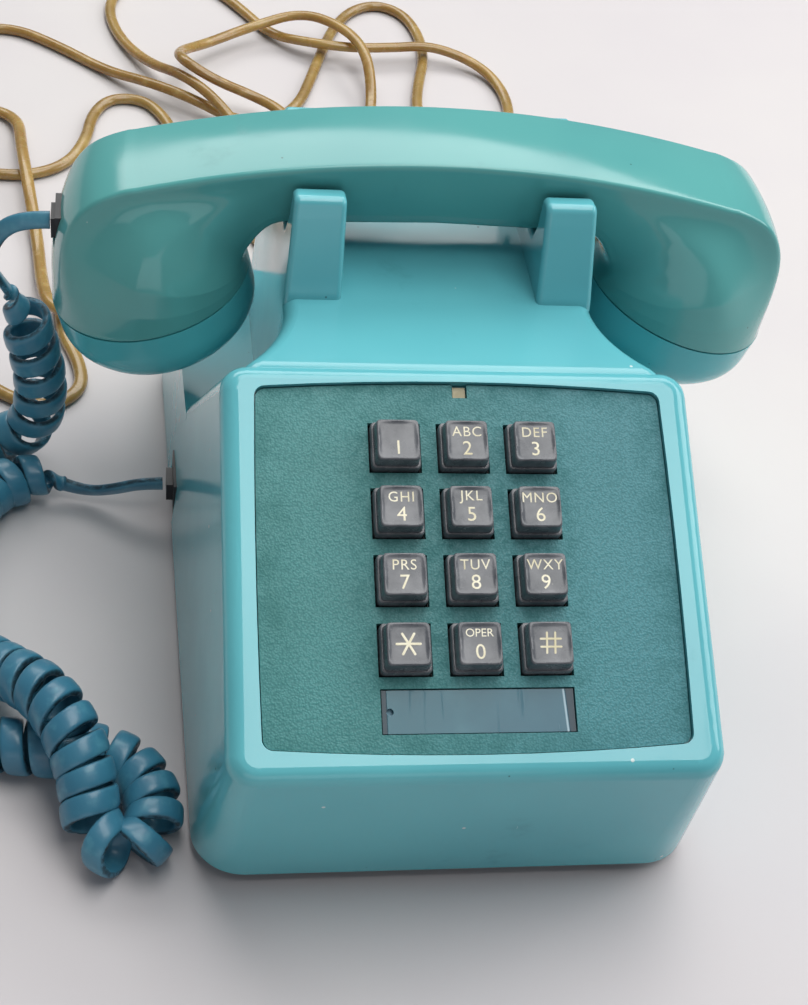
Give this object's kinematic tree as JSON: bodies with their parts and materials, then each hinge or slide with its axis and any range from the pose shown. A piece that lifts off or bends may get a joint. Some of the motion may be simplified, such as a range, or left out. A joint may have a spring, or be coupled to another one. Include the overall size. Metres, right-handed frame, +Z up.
{
  "type": "telephone",
  "caption": "Push-button desk telephone with its handset on the cradle, a coiled handset cord and a loose line cord.",
  "frame": {"origin": "on the surface it stands on, under the middle of the telephone without its cords", "axes": "+Z up, the sloping face with the keys looks towards -Y, +X is to the right of a person in front"},
  "size_m": [0.2725, 0.4734, 0.132],
  "materials": {
    "housing_gloss": "glossy",
    "faceplate_grain": "fine leather grain",
    "card": "plain",
    "card_window": "clear",
    "cream_plastic": "satin",
    "dark_plastic": "satin",
    "key_plastic": "glossy",
    "steel": "satin",
    "plated_steel": "zinc plated",
    "board": "laminate",
    "black_rubber": "matte",
    "gong_brass": "polished",
    "coil_winding": "wound",
    "clear_plastic": "clear",
    "handset_cord": "satin vinyl",
    "line_cord": "satin vinyl"
  },
  "bodies": {
    "base": {"housing": "housing_gloss", "faceplate": "faceplate_grain", "number_card": "card", "card_lens": "card_window", "faceplate_latch": "cream_plastic", "keypad_frame": "dark_plastic", "key_springs": "steel", "keypad_board": "board", "keypad_components": "dark_plastic", "keypad_brackets": "steel", "keypad_screws": "steel", "base_plate": "plated_steel", "rubber_feet": "black_rubber", "housing_screws": "steel", "ringer_frame": "plated_steel", "gong_left": "gong_brass", "gong_right": "gong_brass", "inner_screws": "steel", "ringer_coil": "coil_winding", "ringer_core": "steel", "clapper_pin": "steel", "network_block": "dark_plastic", "network_terminals": "gong_brass", "hook_lever_pin": "steel", "hook_bracket": "plated_steel", "hook_contacts": "gong_brass", "hook_spring": "steel", "base_handset_jack": "dark_plastic", "base_handset_plug": "clear_plastic", "handset_cord_lead": "handset_cord", "handset_cord_coil": "handset_cord", "handset_cord_tail": "handset_cord", "line_cord": "line_cord", "line_cord_coil": "line_cord", "wall_plug": "clear_plastic", "line_cord_grommet": "black_rubber"},
    "handset": {"handset_body": "housing_gloss", "transmitter_cap": "housing_gloss", "receiver_cap": "housing_gloss", "transmitter_capsule": "plated_steel", "receiver_capsule": "plated_steel", "handset_jack": "dark_plastic", "handset_plug": "clear_plastic"},
    "key_1": {"key_1": "key_plastic"},
    "key_2": {"key_2": "key_plastic"},
    "key_3": {"key_3": "key_plastic"},
    "key_4": {"key_4": "key_plastic"},
    "key_5": {"key_5": "key_plastic"},
    "key_6": {"key_6": "key_plastic"},
    "key_7": {"key_7": "key_plastic"},
    "key_8": {"key_8": "key_plastic"},
    "key_9": {"key_9": "key_plastic"},
    "key_star": {"key_star": "key_plastic"},
    "key_0": {"key_0": "key_plastic"},
    "key_hash": {"key_hash": "key_plastic"},
    "plunger_left": {"hook_plunger_left": "cream_plastic"},
    "plunger_right": {"hook_plunger_right": "cream_plastic"},
    "hook_lever": {"hook_lever": "plated_steel"},
    "clapper": {"clapper": "steel"},
    "loudness_wheel": {"loudness_wheel": "dark_plastic"}
  },
  "joints": [
    {"name": "handset_lift", "type": "slide", "parent": "base", "child": "handset", "axis": [0, 0, 1], "range_m": [0, 0.12]},
    {"name": "key_1_press", "type": "slide", "parent": "base", "child": "key_1", "axis": [0, 0.4226, -0.9063], "range_m": [0, 0.003], "stiffness_N_per_m": 300, "springref_m": -0.001},
    {"name": "key_2_press", "type": "slide", "parent": "base", "child": "key_2", "axis": [0, 0.4226, -0.9063], "range_m": [0, 0.003], "stiffness_N_per_m": 300, "springref_m": -0.001},
    {"name": "key_3_press", "type": "slide", "parent": "base", "child": "key_3", "axis": [0, 0.4226, -0.9063], "range_m": [0, 0.003], "stiffness_N_per_m": 300, "springref_m": -0.001},
    {"name": "key_4_press", "type": "slide", "parent": "base", "child": "key_4", "axis": [0, 0.4226, -0.9063], "range_m": [0, 0.003], "stiffness_N_per_m": 300, "springref_m": -0.001},
    {"name": "key_5_press", "type": "slide", "parent": "base", "child": "key_5", "axis": [0, 0.4226, -0.9063], "range_m": [0, 0.003], "stiffness_N_per_m": 300, "springref_m": -0.001},
    {"name": "key_6_press", "type": "slide", "parent": "base", "child": "key_6", "axis": [0, 0.4226, -0.9063], "range_m": [0, 0.003], "stiffness_N_per_m": 300, "springref_m": -0.001},
    {"name": "key_7_press", "type": "slide", "parent": "base", "child": "key_7", "axis": [0, 0.4226, -0.9063], "range_m": [0, 0.003], "stiffness_N_per_m": 300, "springref_m": -0.001},
    {"name": "key_8_press", "type": "slide", "parent": "base", "child": "key_8", "axis": [0, 0.4226, -0.9063], "range_m": [0, 0.003], "stiffness_N_per_m": 300, "springref_m": -0.001},
    {"name": "key_9_press", "type": "slide", "parent": "base", "child": "key_9", "axis": [0, 0.4226, -0.9063], "range_m": [0, 0.003], "stiffness_N_per_m": 300, "springref_m": -0.001},
    {"name": "key_star_press", "type": "slide", "parent": "base", "child": "key_star", "axis": [0, 0.4226, -0.9063], "range_m": [0, 0.003], "stiffness_N_per_m": 300, "springref_m": -0.001},
    {"name": "key_0_press", "type": "slide", "parent": "base", "child": "key_0", "axis": [0, 0.4226, -0.9063], "range_m": [0, 0.003], "stiffness_N_per_m": 300, "springref_m": -0.001},
    {"name": "key_hash_press", "type": "slide", "parent": "base", "child": "key_hash", "axis": [0, 0.4226, -0.9063], "range_m": [0, 0.003], "stiffness_N_per_m": 300, "springref_m": -0.001},
    {"name": "plunger_left_rise", "type": "slide", "parent": "base", "child": "plunger_left", "axis": [0, 0, 1], "range_m": [0, 0.006]},
    {"name": "plunger_right_rise", "type": "slide", "parent": "base", "child": "plunger_right", "axis": [0, 0, 1], "range_m": [0, 0.006]},
    {"name": "hook_lever_turn", "type": "hinge", "parent": "base", "child": "hook_lever", "pos_m": [0, 0.014, 0.07], "axis": [1, 0, 0], "range_deg": [0, 9]},
    {"name": "clapper_swing", "type": "hinge", "parent": "base", "child": "clapper", "pos_m": [0, 0.024, 0.02], "axis": [0, 0, 1], "range_deg": [-6.5, 6.5]},
    {"name": "loudness_turn", "type": "hinge", "parent": "base", "child": "loudness_wheel", "pos_m": [0, -0.027, 0.0115], "axis": [1, 0, 0], "range_deg": [0, 120]}
  ],
  "couplings": [
    {"joint": "plunger_left_rise", "follows": "handset_lift", "ratio": 0.05},
    {"joint": "plunger_right_rise", "follows": "handset_lift", "ratio": 0.05},
    {"joint": "hook_lever_turn", "follows": "handset_lift", "rad_per_m": 1.29}
  ]
}
